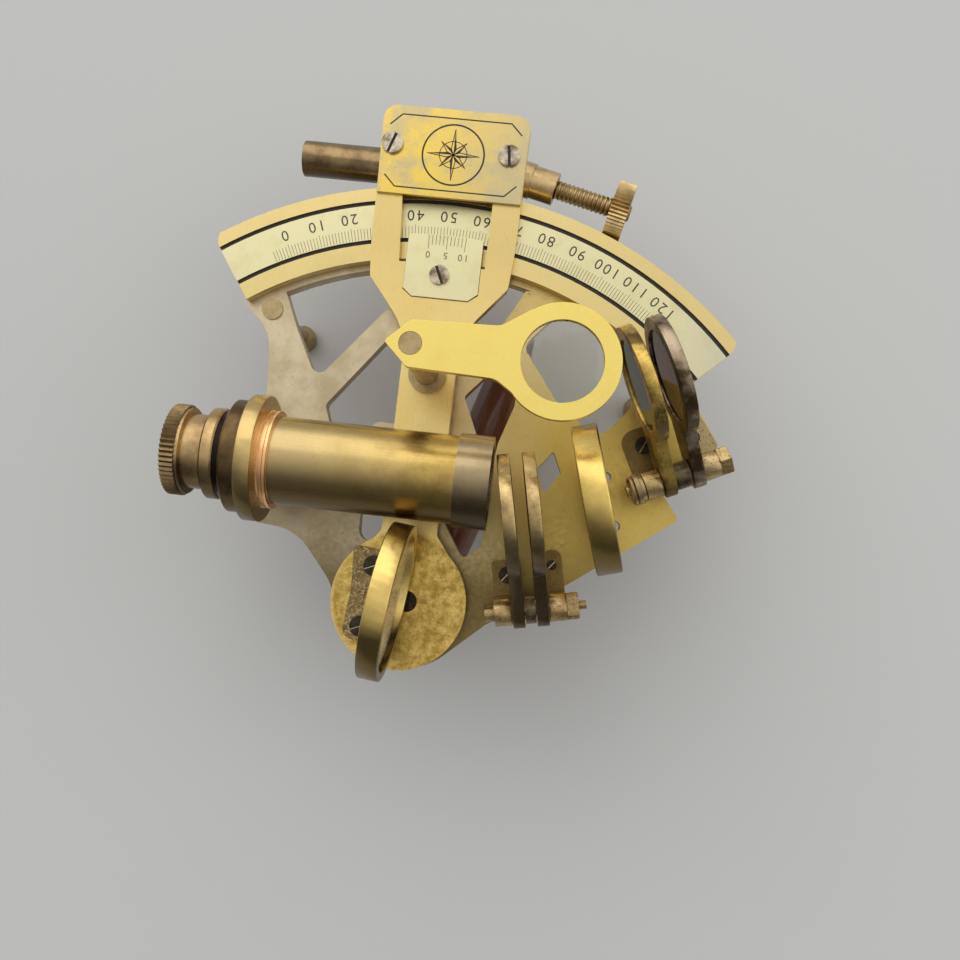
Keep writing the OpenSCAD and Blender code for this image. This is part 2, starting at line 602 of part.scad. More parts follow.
module horizon_shade_pin() color(brass) at_horizon_pin() rotate([0, 90, 0])
    translate([0, 0, -ear_t / 2 - 3]) cylinder(r = pin_r, h = 3 + ear_t / 2 + horizon_ear_x + ear_t + nut_w);
module horizon_shade_nut() color(old_brass) at_horizon_pin() translate([horizon_ear_x + ear_t, 0, 0])
    rotate([0, 90, 0]) difference() {
        cylinder(r = 2.6, h = nut_w, $fn = 6);
        translate([0, 0, -1]) cylinder(r = pin_r, h = nut_w + 2);
    }
knob_gap = 0.15;
module horizon_shade_knob() color(old_brass) at_horizon_pin()
    translate([-ear_t / 2 - knob_gap - 2.4, 0, 0]) rotate([0, 90, 0]) rotate_extrude() polygon([
        [pin_r + run_gap, 0], [2, 0], [2.5, 0.3], [2.6, 0.7], [2.35, 0.85], [2.6, 1], [2.6, 1.7],
        [2.15, 1.85], [2.15, 2.4], [pin_r + run_gap, 2.4]]);
module shade_washers() color(dark) {
    at_index_pin() translate([index_1_x + shade_t + hub_gap, 0, 0]) rotate([0, 90, 0])
        tube(2.3, pin_r, index_2_x - index_1_x - shade_t - 2 * hub_gap);
    at_horizon_pin() translate([horizon_1_x + shade_t + hub_gap, 0, 0]) rotate([0, 90, 0])
        tube(2.3, pin_r, horizon_2_x - horizon_1_x - shade_t - 2 * hub_gap);
}

// One shade's frame: a ring with a tapered lug to its hub, raised by e
lug_w = 5.6;
module shade_frame(x, e) translate([x, 0, 0]) rotate([e, 0, 0]) difference() {
    union() {
        rotate([0, 90, 0]) cylinder(r = shade_hub_r, h = shade_t);
        translate([0, shade_reach, 0]) rotate([0, 90, 0]) cylinder(r = shade_r, h = shade_t);
        rotate([90, 0, 90]) linear_extrude(shade_t) polygon([[0, -shade_hub_r], [0, shade_hub_r],
            [shade_reach - shade_r + 1.6, lug_w * 0.75], [shade_reach - shade_r + 1.6, -lug_w * 0.75]]);
    }
    rotate([0, 90, 0]) translate([0, 0, -1]) cylinder(r = pin_r + run_gap, h = shade_t + 2);
    translate([-1, shade_reach, 0]) rotate([0, 90, 0]) cylinder(r = shade_glass_r, h = shade_t + 2);
}
module shade_glass(x, e) translate([x, 0, 0]) rotate([e, 0, 0])
    translate([shade_t * 0.2, shade_reach, 0]) rotate([0, 90, 0]) cylinder(r = shade_glass_r, h = shade_t * 0.6);
module index_shade_1() color(old_brass) at_index_pin() shade_frame(index_1_x, index_shade_e);
module index_shade_1_glass() color([0.4, 0.1, 0.08]) at_index_pin() shade_glass(index_1_x, index_shade_e);
module index_shade_2() color(old_brass) at_index_pin() shade_frame(index_2_x, index_shade_e);
module index_shade_2_glass() color([0.1, 0.3, 0.12]) at_index_pin() shade_glass(index_2_x, index_shade_e);
module horizon_shade_1() color(old_brass) at_horizon_pin() shade_frame(horizon_1_x, horizon_shade_e);
module horizon_shade_1_glass() color([0.1, 0.3, 0.12]) at_horizon_pin() shade_glass(horizon_1_x, horizon_shade_e);
module horizon_shade_2() color(old_brass) at_horizon_pin() shade_frame(horizon_2_x, horizon_shade_e);
module horizon_shade_2_glass() color([0.4, 0.1, 0.08]) at_horizon_pin() shade_glass(horizon_2_x, horizon_shade_e);

/* The index arm */
neck_y = 10.4;
tongue_y1 = limb_ri - 0.8;
window_y0 = limb_ri - 1.5;
window_y1 = limb_r - 1.2;
vernier_y0 = limb_ri - 7.5;
arm_side = [[bar_hw, 0, 0], [bar_hw, limb_ri - 13.6, 12], [head_hw - 0.5, limb_ri - 4.6, 1.6],
    [head_hw, limb_ri + 2, 0], [cover_hw, head_end, 2.5]];
vernier_pocket = vernier_t - 0.3;
vernier_screw_y = limb_ri - 3.4;
// The cover's screws: x, y and the direction of the slot
cover_screws_at = [[2.2 - cover_hw, limb_r + 6, 71], [cover_hw - 3.25, limb_r + 5.6, 97]];
vernier_x = 0.45;
disc_at = [-0.5, -0.1];
arm_hole_at = [0.9, 0.1];
arm_hole_r = 1.8;
module index_arm() color(brass) difference() {
    union() {
        translate([disc_at.x, disc_at.y, arm_z]) cylinder(r = disc_r, h = arm_t);
        translate([0, 0, arm_z]) linear_extrude(arm_t)
            polygon(outline(mirrored([for (i = [len(arm_side) - 1:-1:0]) arm_side[i]])));
        for (m = [-1, 1]) translate([0, 0, arm_z]) linear_extrude(arm_t)
            polygon(outline([[0, 6, 0], [m * (bar_hw + 2.6), 8.4, 0],
                [m * bar_hw, neck_y + 1.4, 1.6], [m * (bar_hw - 0.4), neck_y + 8, 0], [0, neck_y + 8, 0]]));
    }
    translate([arm_hole_at.x, arm_hole_at.y, arm_z - 1]) cylinder(r = arm_hole_r, h = arm_t + 2);
    translate([0, 0, arm_z - 1]) linear_extrude(arm_t + 2) difference() {
        polygon([[-7.3, window_y0], [7.7, window_y0], [7.8, window_y1], [-8.2, window_y1]]);
        translate([vernier_x - vernier_hw, window_y0 - 1]) square([2 * vernier_hw, tongue_y1 - window_y0 + 1]);
    }
    translate([vernier_x, 0, arm_top - vernier_pocket]) linear_extrude(arm_t)
        polygon([[-vernier_hw - 0.05, tongue_y1 + 1], [-vernier_hw - 0.05, vernier_y0 + 1.2],
            [-vernier_hw + 1.6, vernier_y0 - 0.05], [vernier_hw - 1.6, vernier_y0 - 0.05],
            [vernier_hw + 0.05, vernier_y0 + 1.2], [vernier_hw + 0.05, tongue_y1 + 1]]);
    translate([0, vernier_screw_y, arm_z - 1]) cylinder(r = 0.9, h = arm_t + 2);
    for (c = cover_screws_at) translate([c.x, c.y, arm_z - 1]) cylinder(r = 1, h = arm_t + 2);
    translate([0, post_y, arm_z - 1]) cylinder(r = post_r, h = arm_t + 2);
}
post_r = 1.9;
module index_axle() color(steel)
    translate([0, 0, axle_end]) cylinder(r = axle_r, h = arm_z - axle_end);
module axle_nut() color(brass) translate([0, 0, axle_end]) difference() {
    cylinder(r = nut_r, h = 2.9, $fn = 6);
    translate([0, 0, -1]) cylinder(r = axle_r, h = 6);
}
module vernier_plate() color(silver) difference() {
    translate([0, 0, arm_top - vernier_pocket]) linear_extrude(vernier_t) intersection() {
        translate([vernier_x, 0]) polygon([[-vernier_hw, scale_ro], [-vernier_hw, vernier_y0 + 1.3],
            [-vernier_hw + 1.6, vernier_y0], [vernier_hw - 1.6, vernier_y0], [vernier_hw, vernier_y0 + 1.3],
            [vernier_hw, scale_ro]]);
        circle(scale_ri, $fn = 180);
    }
    translate([0, vernier_screw_y, arm_z - 1]) cylinder(r = 0.9, h = 6);
}
module vernier_screw() color(old_brass) translate([0, vernier_screw_y, arm_z]) {
    cylinder(r = 0.9, h = arm_t + 0.3);
    translate([0, 0, arm_t + 0.3]) rotate([0, 0, 114]) slotted_head(1.7, 0.6);
}
module cover_plate() color(brass) difference() {
    translate([0, 0, arm_top]) linear_extrude(cover_t) polygon(outline([
        [-cover_hw + 0.4, cover_y0, 0], [cover_hw - 0.4, cover_y0, 0], [cover_hw, head_end, 2.5],
        [-cover_hw, head_end, 2.5]]));
    for (c = cover_screws_at) translate([c.x, c.y, arm_z]) cylinder(r = 1, h = 6);
}
module cover_screws() color(old_brass) for (c = cover_screws_at) translate([c.x, c.y, arm_z]) {
    cylinder(r = 1, h = arm_t + cover_t);
    translate([0, 0, arm_t + cover_t]) rotate([0, 0, c.z]) slotted_head(1.9, 0.6);
}

/* The magnifier */
mag_pin_r = 1.7;
mag_hw = 3.5;
mag_drop = -0.3;
module magnifier_post() color(old_brass) translate([0, post_y, 0]) {
    translate([0, 0, arm_z]) cylinder(r = post_r, h = arm_t);
    translate([0, 0, arm_top]) cylinder(r = post_r + 1.3, h = 1.6);
    translate([0, 0, arm_top + 1.6]) cylinder(r = post_r + 0.1, h = mag_z - arm_top - 1.6);
    translate([0, 0, mag_z]) cylinder(r = mag_pin_r, h = mag_t);
}
module magnifier_arm() color(brass) translate([0, post_y, mag_z + 0.05]) difference() {
    linear_extrude(mag_t - 0.05) difference() {
        union() {
            translate([mag_reach, mag_drop]) circle(mag_r);
            polygon(outline([[-3.9, 0, 0.5], [-0.2, -mag_hw, 1.2], [mag_reach - 9.4, -mag_hw - 0.4, 3],
                [mag_reach - 5, -mag_hw - 3.4, 0], [mag_reach - 5, mag_hw + 3.4, 0],
                [mag_reach - 9.4, mag_hw + 0.4, 3], [-0.2, mag_hw, 1.2]]));
        }
        circle(mag_pin_r + run_gap);
        translate([mag_reach, mag_drop]) circle(mag_lens_r);
    }
}
module magnifier_lens() color(glass) translate([mag_reach, post_y + mag_drop, mag_z + 0.05]) rotate_extrude()
    polygon(concat([[0, 0.15], [mag_lens_r, 0.3], [mag_lens_r, mag_t - 0.35]],
        [for (i = [1:6]) [mag_lens_r * (1 - i / 6), mag_t - 0.35 + 0.9 * (1 - pow(1 - i / 6, 2))]]));

/* The tangent screw and the clamp, below the arm's end */
lug_y0 = limb_r + 1;
lug_y1 = head_end - 1.6;
lug_z0 = tangent_z - 3.6;
lug_t = 3.6;
lug_x = cover_hw - 0.6 - lug_t;
spring_y = limb_r + 4.4;
spring_end = -27.6;
module spring_housing() color(old_brass) difference() {
    union() {
        translate([-lug_x - lug_t, lug_y0, lug_z0]) cube([lug_t, lug_y1 - lug_y0, arm_z - lug_z0]);
        translate([spring_end, spring_y, tangent_z]) rotate([0, 90, 0])
            cylinder(r = tube_r, h = -spring_end - lug_x - 1);
    }
    translate([spring_end + 2, spring_y, tangent_z]) rotate([0, 90, 0]) cylinder(r = tube_r - 0.9, h = 30);
}
screw_a = -13.2;
collar_len = 5.3;
collar_flange = 0.9;
screw_at = [cover_hw + 0.2, limb_r + 4.3];
module on_screw() translate([screw_at.x, screw_at.y, tangent_z]) rotate([0, 0, screw_a]) rotate([0, 90, 0]) children();
module screw_housing() color(old_brass) difference() {
    union() {
        translate([lug_x, lug_y0, lug_z0]) cube([lug_t, lug_y1 - lug_y0, arm_z - lug_z0]);
        on_screw() translate([0, 0, -2.4]) cylinder(r = tube_r, h = collar_flange + 2.4);
        on_screw() cylinder(r = tube_r - 0.25, h = collar_len);
    }
    on_screw() translate([0, 0, -8]) cylinder(r = screw_r + run_gap, h = 20);
}
thread_end = 15.8;
thread_back = 8.5;
module tangent_screw() color(old_brass) on_screw() translate([0, 0, -thread_back])
    cylinder(r = screw_r, h = thread_end + thread_back);
module tangent_knob() color(old_brass) on_screw() translate([0, 0, thread_end]) {
    knurled(knob_r, knob_t, 46, 0.28);
    translate([0, 0, knob_t]) cylinder(r1 = 1.6, r2 = 1.2, h = 0.4);
}
// The carriage that the clamp holds to the limb, between the two lugs
carriage_hw = 4.3;
jaw_t = 2.2;
jaw_z = frame_z - 0.35 - jaw_t;
clamp_y = limb_r + 6.4;
clamp_end = limb_r + 11;
jaw_y0 = limb_r - 9.5;
carriage_z0 = jaw_z + jaw_t + 0.35;
module clamp_carriage() color(old_brass) difference() {
    translate([-carriage_hw, limb_r + 0.9, carriage_z0])
        cube([2 * carriage_hw, clamp_end - limb_r - 0.9, arm_z - carriage_z0]);
    translate([0, clamp_y, carriage_z0 - 1]) cylinder(r = 1.5, h = 5.1);
}
module clamp_jaw() color(old_brass) difference() {
    union() {
        translate([0, 0, jaw_z]) linear_extrude(jaw_t) polygon(outline([[-carriage_hw, jaw_y0, 1.5],
            [carriage_hw, jaw_y0, 1.5], [carriage_hw, clamp_end, 1], [-carriage_hw, clamp_end, 1]]));
        translate([-carriage_hw, clamp_end - 2, jaw_z + jaw_t - 1])
            cube([2 * carriage_hw, 2, carriage_z0 - jaw_z - jaw_t + 1]);
    }
    translate([0, clamp_y, jaw_z - 1]) cylinder(r = 1.5 + run_gap, h = jaw_t + 2);
}
module clamp_screw() color(brass) translate([0, clamp_y, 0]) {
    translate([0, 0, jaw_z - 0.1 - 3.2]) knurled(4.6, 3.2, 40, 0.28);
    translate([0, 0, jaw_z - 0.1]) cylinder(r = 1.5 - run_gap, h = jaw_t + 0.1 + 3.6);
}

frame_plate();
limb_arc();
scale_strip();
left_foot();
right_foot();
pivot_foot();
pivot_bush();
handle_grip();
handle_pillars();
frame_screws();
telescope_bracket();
telescope_tube();
lock_ring();
draw_ferrule();
objective_ring();
objective_lens();
eyepiece_tube();
eyepiece_cap();
eyepiece_lens();
horizon_bracket();
horizon_ring();
horizon_glass();
index_shade_bracket();
index_shade_pin();
index_shade_nut();
horizon_shade_bracket();
horizon_shade_pin();
horizon_shade_nut();
horizon_shade_knob();
shade_washers();
bracket_screws();
index_shade_1();
index_shade_1_glass();
index_shade_2();
index_shade_2_glass();
horizon_shade_1();
horizon_shade_1_glass();
horizon_shade_2();
horizon_shade_2_glass();
index_arm();
index_axle();
axle_nut();
index_mirror_base();
index_mirror_ring();
index_mirror_glass();
index_mirror_screws();
vernier_plate();
vernier_screw();
cover_plate();
cover_screws();
magnifier_post();
magnifier_arm();
magnifier_lens();
spring_housing();
screw_housing();
tangent_screw();
tangent_knob();
clamp_carriage();
clamp_jaw();
clamp_screw();
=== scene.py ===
import math

import bmesh
import bpy
from mathutils import Matrix, Vector


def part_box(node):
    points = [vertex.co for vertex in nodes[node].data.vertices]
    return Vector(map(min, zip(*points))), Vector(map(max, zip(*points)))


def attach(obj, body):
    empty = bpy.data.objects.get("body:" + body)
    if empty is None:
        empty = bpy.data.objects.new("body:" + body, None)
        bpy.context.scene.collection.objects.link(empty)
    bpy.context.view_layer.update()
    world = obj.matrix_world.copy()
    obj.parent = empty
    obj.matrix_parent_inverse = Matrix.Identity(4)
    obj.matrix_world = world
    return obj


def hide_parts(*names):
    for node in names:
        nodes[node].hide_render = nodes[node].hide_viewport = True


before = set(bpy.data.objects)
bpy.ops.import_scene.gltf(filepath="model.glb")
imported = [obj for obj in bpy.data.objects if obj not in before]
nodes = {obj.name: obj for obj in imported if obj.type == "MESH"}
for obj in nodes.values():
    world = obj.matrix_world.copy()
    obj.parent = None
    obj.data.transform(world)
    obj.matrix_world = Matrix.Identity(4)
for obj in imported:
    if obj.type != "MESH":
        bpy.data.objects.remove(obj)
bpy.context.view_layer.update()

MM = 0.001


def high(node):
    """The upper corner of a piece's box, in millimetres."""
    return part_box(node)[1] / MM


# Places and sizes in millimetres, from the frame where it holds them
LIMB_TOP = high("limb_arc").z
SCALE_TOP = high("scale_strip").z
ARM_TOP = high("index_arm").z
FRAME_TOP = high("frame_plate").z
SCALE_INNER = 63.75
SCALE_OUTER = 69.95
GROOVE = 0.72
GROOVE_DEEP = 0.5

# The scale: its reading 0 stands at bearing ZERO, and each reading is half a degree further clockwise
ZERO = -24.8
PER_READING = 0.5
LAST_READING = 120
EXTRA_READINGS = 5


def bearing(radius, angle):
    """The point in plan at a radius and at degrees clockwise from +Y, round the pivot."""
    a = math.radians(angle)
    return Vector((radius * math.sin(a), radius * math.cos(a)))


# Materials

DISC_EDGE = 0.5  # millimetres over which the disc's blotches fade
SPECK_EDGE = 0.08  # part of the noise's range over which a speck fades
BRUSH_BUMP = 0.0001  # metres
GRAIN_BUMP = 0.0002  # metres
GRAIN_TURN = 0.24  # radians between the wood's grain and the Y axis
GLASS_ROUGH = 0.02


def new_material(name):
    """A material with one principled shader, and its tree and shader."""
    mat = bpy.data.materials.new(name)
    mat.use_nodes = True
    tree = mat.node_tree
    tree.nodes.clear()
    out = tree.nodes.new("ShaderNodeOutputMaterial")
    shader = tree.nodes.new("ShaderNodeBsdfPrincipled")
    tree.links.new(shader.outputs["BSDF"], out.inputs["Surface"])
    return mat, tree, shader


def noise(tree, scale, detail, rough, stretch=(1, 1, 1), turn=0.0):
    """Noise over the piece's own place, stretched along an axis for brushing or grain."""
    coords = tree.nodes.new("ShaderNodeTexCoord")
    mapping = tree.nodes.new("ShaderNodeMapping")
    mapping.inputs["Scale"].default_value = stretch
    mapping.inputs["Rotation"].default_value = (0, 0, turn)
    tex = tree.nodes.new("ShaderNodeTexNoise")
    tex.inputs["Scale"].default_value = scale
    tex.inputs["Detail"].default_value = detail
    tex.inputs["Roughness"].default_value = rough
    tree.links.new(coords.outputs["Object"], mapping.inputs["Vector"])
    tree.links.new(mapping.outputs["Vector"], tex.inputs["Vector"])
    return tex.outputs["Fac"]


def spread(tree, value, from_low, from_high, to_low=0.0, to_high=1.0):
    """The value's range mapped to another range, and held at its ends."""
    node = tree.nodes.new("ShaderNodeMapRange")
    node.inputs["From Min"].default_value = from_low
    node.inputs["From Max"].default_value = from_high
    node.inputs["To Min"].default_value = to_low
    node.inputs["To Max"].default_value = to_high
    tree.links.new(value, node.inputs["Value"])
    return node.outputs["Result"]


def blend(tree, factor, first, second):
    """First where the factor is 0 and second where it is 1: each a colour or a socket."""
    node = tree.nodes.new("ShaderNodeMix")
    node.data_type = "RGBA"
    tree.links.new(factor, node.inputs[0])
    for socket, value in ((node.inputs[6], first), (node.inputs[7], second)):
        if isinstance(value, tuple):
            socket.default_value = (*value, 1)
        else:
            tree.links.new(value, socket)
    return node.outputs[2]


def add_bump(tree, shader, height, strength, distance):
    bump = tree.nodes.new("ShaderNodeBump")
    bump.inputs["Strength"].default_value = strength
    bump.inputs["Distance"].default_value = distance
    tree.links.new(height, bump.inputs["Height"])
    tree.links.new(bump.outputs["Normal"], shader.inputs["Normal"])


def place_of(tree):
    """The shaded point in metres, as separate X, Y and Z."""
    coords = tree.nodes.new("ShaderNodeTexCoord")
    split = tree.nodes.new("ShaderNodeSeparateXYZ")
    tree.links.new(coords.outputs["Object"], split.inputs["Vector"])
    return split.outputs


def within(tree, value, low_end, high_end):
    """1 between the two ends in millimetres, and 0 elsewhere."""
    node = tree.nodes.new("ShaderNodeMath")
    node.operation = "COMPARE"
    node.inputs[1].default_value = (low_end + high_end) / 2 * MM
    node.inputs[2].default_value = (high_end - low_end) / 2 * MM
    tree.links.new(value, node.inputs[0])
    return node.outputs[0]


def inside_radius(tree, radius):
    """1 nearer to the pivot than a radius in millimetres, and 0 outside it."""
    parts = place_of(tree)
    flat = tree.nodes.new("ShaderNodeCombineXYZ")
    tree.links.new(parts["X"], flat.inputs["X"])
    tree.links.new(parts["Y"], flat.inputs["Y"])
    size = tree.nodes.new("ShaderNodeVectorMath")
    size.operation = "LENGTH"
    tree.links.new(flat.outputs["Vector"], size.inputs[0])
    return spread(tree, size.outputs["Value"], (radius + DISC_EDGE) * MM, (radius - DISC_EDGE) * MM)


def blotches(tree):
    """The pivot disc's golden blotches, with dark pits between them."""
    cells = spread(tree, noise(tree, 560, 6, 0.8), 0.4, 0.6)
    ground = blend(tree, cells, (0.42, 0.26, 0.05), (0.82, 0.58, 0.17))
    pits = spread(tree, noise(tree, 2000, 4, 0.8), 0.56, 0.66)
    return blend(tree, pits, ground, (0.28, 0.17, 0.04))


def metal(name, light, dull, rough, patches, patch_scale=160, brush=(1, 1, 1), brush_scale=9000,
          bump=0.01, specks=None, bands=(), tone_and_shade_fades=(), disc=None):
    """A metal with dull patches, specks and fine brushing along one way.

    patches: the noise where the dull colour starts and where it is full
    specks: (noise scale, threshold, colour)
    the colour changes along axes, each (axis, start, end, most, colour), in millimetres: mostly painted shade
    on a piece's side or end turned from the light, on the frame also painted warm light, and elsewhere a
    change in the metal's own tone
    bands: (colour, start, end), rings round the X axis, in millimetres
    disc: the radius round the pivot that has blotches
    """
    mat, tree, shader = new_material(name)
    shader.inputs["Metallic"].default_value = 1
    patch = spread(tree, noise(tree, patch_scale, 6, 0.65), *patches)
    colour = blend(tree, patch, light, dull)
    # Colour changes along an axis, most of them painted shade, one painted warm light, a few a change of tone
    for axis, start, end, most, tint in tone_and_shade_fades:
        side = spread(tree, place_of(tree)[axis], start * MM, end * MM, 0, most)
        colour = blend(tree, side, colour, tint)
    if specks:
        spots = spread(tree, noise(tree, specks[0], 3, 0.7), specks[1], specks[1] + SPECK_EDGE)
        colour = blend(tree, spots, colour, specks[2])
    if disc:
        colour = blend(tree, inside_radius(tree, disc), colour, blotches(tree))
    for tint, start, end in bands:
        colour = blend(tree, within(tree, place_of(tree)["X"], start, end), colour, tint)
    tree.links.new(colour, shader.inputs["Base Color"])
    lines = noise(tree, brush_scale, 2, 0.5, brush)
    shine = spread(tree, lines, 0.3, 0.7, rough[0], rough[1])
    tree.links.new(shine, shader.inputs["Roughness"])
    add_bump(tree, shader, lines, bump, BRUSH_BUMP)
    return mat


def plain(name, colour, rough):
    mat, _, shader = new_material(name)
    shader.inputs["Base Color"].default_value = (*colour, 1)
    shader.inputs["Roughness"].default_value = rough
    return mat


def glass(name, colour, ior=1.5, coat=0.0):
    mat, _, shader = new_material(name)
    shader.inputs["Base Color"].default_value = (*colour, 1)
    shader.inputs["Roughness"].default_value = GLASS_ROUGH
    shader.inputs["IOR"].default_value = ior
    shader.inputs["Transmission Weight"].default_value = 1
    shader.inputs["Coat Weight"].default_value = coat
    return mat


def rosewood(name):
    mat, tree, shader = new_material(name)
    grain = spread(tree, noise(tree, 260, 5, 0.65, (1, 0.12, 1), GRAIN_TURN), 0.35, 0.65)
    tree.links.new(blend(tree, grain, (0.09, 0.025, 0.012), (0.23, 0.075, 0.035)),
                   shader.inputs["Base Color"])
    shader.inputs["Roughness"].default_value = 0.35
    shader.inputs["Coat Weight"].default_value = 0.4
    add_bump(tree, shader, grain, 0.1, GRAIN_BUMP)
    return mat


ALONG_Y = (1, 0.02, 1)
ALONG_X = (0.02, 1, 1)
POLISHED = metal("polished_brass", (0.79, 0.62, 0.26), (0.68, 0.51, 0.2), (0.26, 0.33),
                 (0.5, 0.85), 90, brush=ALONG_Y, specks=(2400, 0.7, (0.5, 0.38, 0.18)))
ARM = metal("arm_brass", (0.86, 0.65, 0.25), (0.78, 0.56, 0.19), (0.26, 0.34), (0.45, 0.8), 120,
            brush=ALONG_Y, specks=(2200, 0.66, (0.5, 0.34, 0.1)), disc=11.8,
            tone_and_shade_fades=(("Y", 52, 62, 1, (0.74, 0.56, 0.22)),))
PLATE = metal("plate_brass", (0.82, 0.58, 0.12), (0.58, 0.47, 0.23), (0.24, 0.34), (0.44, 0.58), 110,
              brush=ALONG_X, specks=(2600, 0.64, (0.4, 0.3, 0.14)),
              tone_and_shade_fades=(("X", -5, 13, 0.75, (0.54, 0.46, 0.28)),))
LENS_PLATE = metal("lens_plate_brass", (0.98, 0.76, 0.2), (0.92, 0.68, 0.18), (0.24, 0.31),
                   (0.5, 0.85), brush=ALONG_X)
# Painted shade: the ring's end towards -Y turns dark, for the dark surroundings it reflects
MOUNT = metal("mount_brass", (0.8, 0.57, 0.18), (0.58, 0.4, 0.12), (0.22, 0.34), (0.45, 0.72),
              specks=(2600, 0.66, (0.4, 0.26, 0.08)), tone_and_shade_fades=(("Y", -1.5, -4.5, 0.85, (0.08, 0.055, 0.02)),))
# Painted shade: the ring darker at its end towards +Y and almost black at its end towards -Y
HORIZON_MOUNT = metal("horizon_mount_brass", (0.8, 0.57, 0.16), (0.58, 0.4, 0.12), (0.22, 0.34), (0.45, 0.72),
                      specks=(2600, 0.66, (0.4, 0.26, 0.08)),
                      tone_and_shade_fades=(("Y", 28.5, 30.5, 0.55, (0.26, 0.18, 0.06)),
                             ("Y", 19, 13, 0.85, (0.09, 0.06, 0.02))))
AGED = metal("aged_brass", (0.5, 0.37, 0.19), (0.34, 0.25, 0.12), (0.26, 0.4), (0.42, 0.66), 500,
             specks=(3000, 0.64, (0.14, 0.1, 0.05)))
# Painted shade: the knob's and the collar's lower sides darker
KNOB = metal("knob_brass", (0.72, 0.52, 0.25), (0.44, 0.31, 0.14), (0.24, 0.36), (0.42, 0.66), 400,
             specks=(3000, 0.64, (0.14, 0.1, 0.05)), tone_and_shade_fades=(("Z", 27, 26, 0.8, (0.1, 0.07, 0.03)),))
# Painted shade: the spring tube's sides below its top darker, leaving a lit top
HOUSING = metal("housing_brass", (0.34, 0.235, 0.115), (0.18, 0.115, 0.055), (0.2, 0.34), (0.4, 0.66), 300,
                tone_and_shade_fades=(("Z", 27.7, 26.9, 0.8, (0.07, 0.045, 0.02)),))
# Painted shade: the brackets' low foot plates under the shades darker
SHADE_BLOCK = metal("shade_block_brass", (0.62, 0.44, 0.2), (0.36, 0.24, 0.1), (0.3, 0.44), (0.4, 0.66), 600,
                    specks=(3800, 0.56, (0.1, 0.065, 0.035)),
                    tone_and_shade_fades=(("Z", 31, 28, 0.85, (0.14, 0.09, 0.02)),
                           ("X", 44.5, 45.5, 0.6, (0.55, 0.42, 0.22))))
ROUGH_BLOCK = metal("speckled_brass", (0.54, 0.38, 0.17), (0.32, 0.22, 0.09), (0.3, 0.48), (0.4, 0.66), 600,
                    specks=(3800, 0.54, (0.1, 0.065, 0.035)))
FOOT_BLOCK = metal("foot_block_brass", (0.29, 0.2, 0.08), (0.17, 0.115, 0.045), (0.3, 0.48), (0.4, 0.66), 600,
                   specks=(2800, 0.52, (0.55, 0.42, 0.21)))
# Painted shade: the tube a little darker along its side towards +Y and dark along its side towards -Y
SCOPE = metal("scope_brass", (0.6, 0.42, 0.13), (0.42, 0.27, 0.07), (0.22, 0.36), (0.4, 0.68), 260,
              brush=ALONG_X, specks=(2600, 0.66, (0.3, 0.19, 0.06)),
              tone_and_shade_fades=(("X", 4, -16, 0.8, (0.52, 0.39, 0.19)), ("Y", 25.8, 27.6, 0.6, (0.22, 0.15, 0.04)),
                     ("Y", 21, 15.5, 0.85, (0.09, 0.06, 0.02))),
              bands=(((0.92, 0.56, 0.27), -22.6, -20.8), ((0.02, 0.015, 0.01), -29.5, -28.1)))
# Painted shade: the objective ring dark on its side towards -Y
RIM = metal("rim_brass", (0.42, 0.32, 0.18), (0.26, 0.19, 0.1), (0.22, 0.34), (0.4, 0.7), 140, brush=ALONG_X,
            tone_and_shade_fades=(("Y", 21.5, 16.5, 0.85, (0.05, 0.035, 0.015)),))
# Painted shade: the telescope bracket dark on its side towards -Y
BRACKET = metal("bracket_brass", (0.6, 0.43, 0.17), (0.46, 0.33, 0.13), (0.22, 0.34), (0.45, 0.72), 240,
                specks=(2600, 0.66, (0.34, 0.23, 0.1)), tone_and_shade_fades=(("Y", 20, 14, 0.8, (0.08, 0.055, 0.02)),))
# Painted shade: the eyepiece tube and ferrule dark on their side towards -Y
DRAW = metal("draw_brass", (0.56, 0.38, 0.17), (0.3, 0.2, 0.09), (0.22, 0.36), (0.4, 0.66), 260,
             tone_and_shade_fades=(("Y", 19.5, 15.5, 0.8, (0.07, 0.05, 0.02)),))
LOCK = metal("lock_brass", (0.16, 0.1, 0.045), (0.07, 0.045, 0.02), (0.24, 0.38), (0.38, 0.65), 260)
# The eyepiece cap's dark brass is in part painted shade, for its flange in shadow
DARK_BRASS = metal("dark_brass", (0.28, 0.19, 0.09), (0.12, 0.08, 0.04), (0.25, 0.4), (0.38, 0.65), 260)
# Painted shade: the index shades' frames dark towards their hubs, at -Y, where the mirror mount shades them
INDEX_SHADE = metal("index_shade_brass", (0.66, 0.48, 0.21), (0.34, 0.23, 0.1), (0.22, 0.38), (0.42, 0.62),
                    200, specks=(2500, 0.64, (0.08, 0.055, 0.03)),
                    tone_and_shade_fades=(("Y", 17, 9, 0.92, (0.08, 0.055, 0.03)),))
GOLD_SHADE = metal("gold_shade_brass", (0.66, 0.45, 0.11), (0.14, 0.09, 0.03), (0.24, 0.42), (0.42, 0.58),
                   150, specks=(2500, 0.62, (0.06, 0.04, 0.02)))
GREY_SHADE = metal("grey_shade_brass", (0.42, 0.32, 0.22), (0.08, 0.055, 0.025), (0.24, 0.42), (0.4, 0.58),
                   170, specks=(2500, 0.62, (0.05, 0.035, 0.02)))
